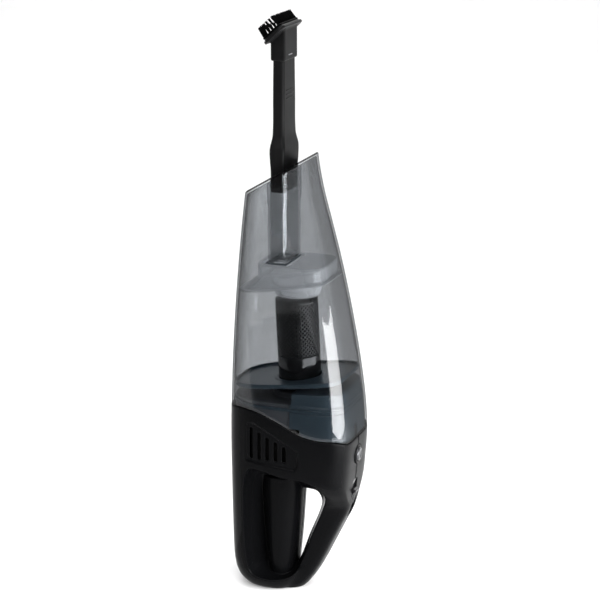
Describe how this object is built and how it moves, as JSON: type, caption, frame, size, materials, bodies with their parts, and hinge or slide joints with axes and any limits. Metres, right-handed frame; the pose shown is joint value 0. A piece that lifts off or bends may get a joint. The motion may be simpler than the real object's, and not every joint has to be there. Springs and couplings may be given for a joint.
{
  "type": "handheld vacuum",
  "caption": "Cordless handheld vacuum standing on its handle foot, with a clear tapering dust cup, round filter, crevice tool with dusting brush, side vents, slide switch and release button.",
  "frame": {"origin": "middle of the foot pad, at the bottom of the handle", "axes": "+Z along the vacuum from the foot to the inlet, +X towards the release button and the switch, +Y to its right side"},
  "size_m": [0.1229, 0.0916, 0.5456],
  "materials": {
    "body_plastic": "satin black ABS, fine moulded grain",
    "clear_plastic": "polished smoke-tinted clear plastic",
    "collar_plastic": "dark blue-grey moulded plastic",
    "filter_mesh": "black perforated screen with a glossy band",
    "filter_pleats": "dark grey pleated fleece",
    "tool_plastic": "dark grey moulded plastic",
    "bristle": "black nylon bristles",
    "gloss_trim": "glossy metallic grey plastic",
    "inner_plastic": "dark nylon",
    "rubber": "soft black rubber",
    "foam": "open-cell exhaust foam",
    "steel": "zinc-plated steel",
    "cell_wrap": "battery cell in a blue shrink wrap",
    "board": "green circuit board",
    "wire_cover": "red wire insulation"
  },
  "bodies": {
    "body": {"body_shell_left": "body_plastic", "body_shell_right": "body_plastic", "body_screw_1": "steel", "body_screw_2": "steel", "body_screw_3": "steel", "body_screw_4": "steel", "body_screw_5": "steel", "foot_pad": "rubber", "front_collar": "collar_plastic", "cup_seal": "rubber", "filter_tray": "collar_plastic", "motor_can": "steel", "motor_end_cap": "body_plastic", "motor_mount": "rubber", "fan_housing": "body_plastic", "exhaust_foam_left": "foam", "exhaust_foam_right": "foam", "cell_left": "cell_wrap", "cell_right": "cell_wrap", "cell_tray_lower": "body_plastic", "cell_tray_upper": "body_plastic", "circuit_board": "board", "charge_socket": "inner_plastic", "battery_wire": "wire_cover", "charge_wire": "wire_cover", "switch_plate": "gloss_trim", "switch_body": "inner_plastic", "button_bezel": "gloss_trim", "spring_seat": "body_plastic"},
    "cup": {"dust_cup": "clear_plastic", "inlet_duct": "clear_plastic", "deflector": "clear_plastic", "flap_pin": "steel"},
    "flap": {"inlet_flap": "collar_plastic"},
    "filter": {"filter_cage": "filter_mesh", "filter_cap": "filter_mesh", "filter_element": "filter_pleats", "filter_seal": "rubber"},
    "fan": {"rotor": "steel", "impeller": "inner_plastic"},
    "button": {"release_button": "gloss_trim", "latch_hook": "inner_plastic", "button_spring": "steel"},
    "switch": {"switch_knob": "body_plastic"},
    "tool": {"crevice_tool": "tool_plastic"},
    "brush": {"brush_body": "tool_plastic", "bristles": "bristle"}
  },
  "joints": [
    {"name": "cup_release", "type": "slide", "parent": "body", "child": "cup", "axis": [0, 0, 1], "range_m": [0, 0.13]},
    {"name": "flap_swing", "type": "hinge", "parent": "cup", "child": "flap", "pos_m": [-0.0094, 0, 0.3183], "axis": [0, 1, 0], "range_deg": [0, 60], "stiffness_Nm_per_rad": 0.002, "springref_deg": -34.38},
    {"name": "filter_twist", "type": "hinge", "parent": "body", "child": "filter", "pos_m": [0.0156, 0, 0.205], "axis": [-0.05, 0, 0.9988], "range_deg": [0, 25]},
    {"name": "fan_spin", "type": "hinge", "parent": "body", "child": "fan", "pos_m": [0.01, 0, 0.15], "axis": [0, 0, 1], "continuous": true},
    {"name": "button_press", "type": "slide", "parent": "body", "child": "button", "axis": [-1, 0, 0], "range_m": [0, 0.003], "stiffness_N_per_m": 400, "springref_m": -0.002},
    {"name": "switch_slide", "type": "slide", "parent": "body", "child": "switch", "axis": [0.2667, 0, 0.9638], "range_m": [0, 0.006]},
    {"name": "tool_pull", "type": "slide", "parent": "cup", "child": "tool", "axis": [0, 0, 1], "range_m": [0, 0.045]},
    {"name": "brush_pull", "type": "slide", "parent": "tool", "child": "brush", "axis": [0, 0, 1], "range_m": [0, 0.03]}
  ]
}
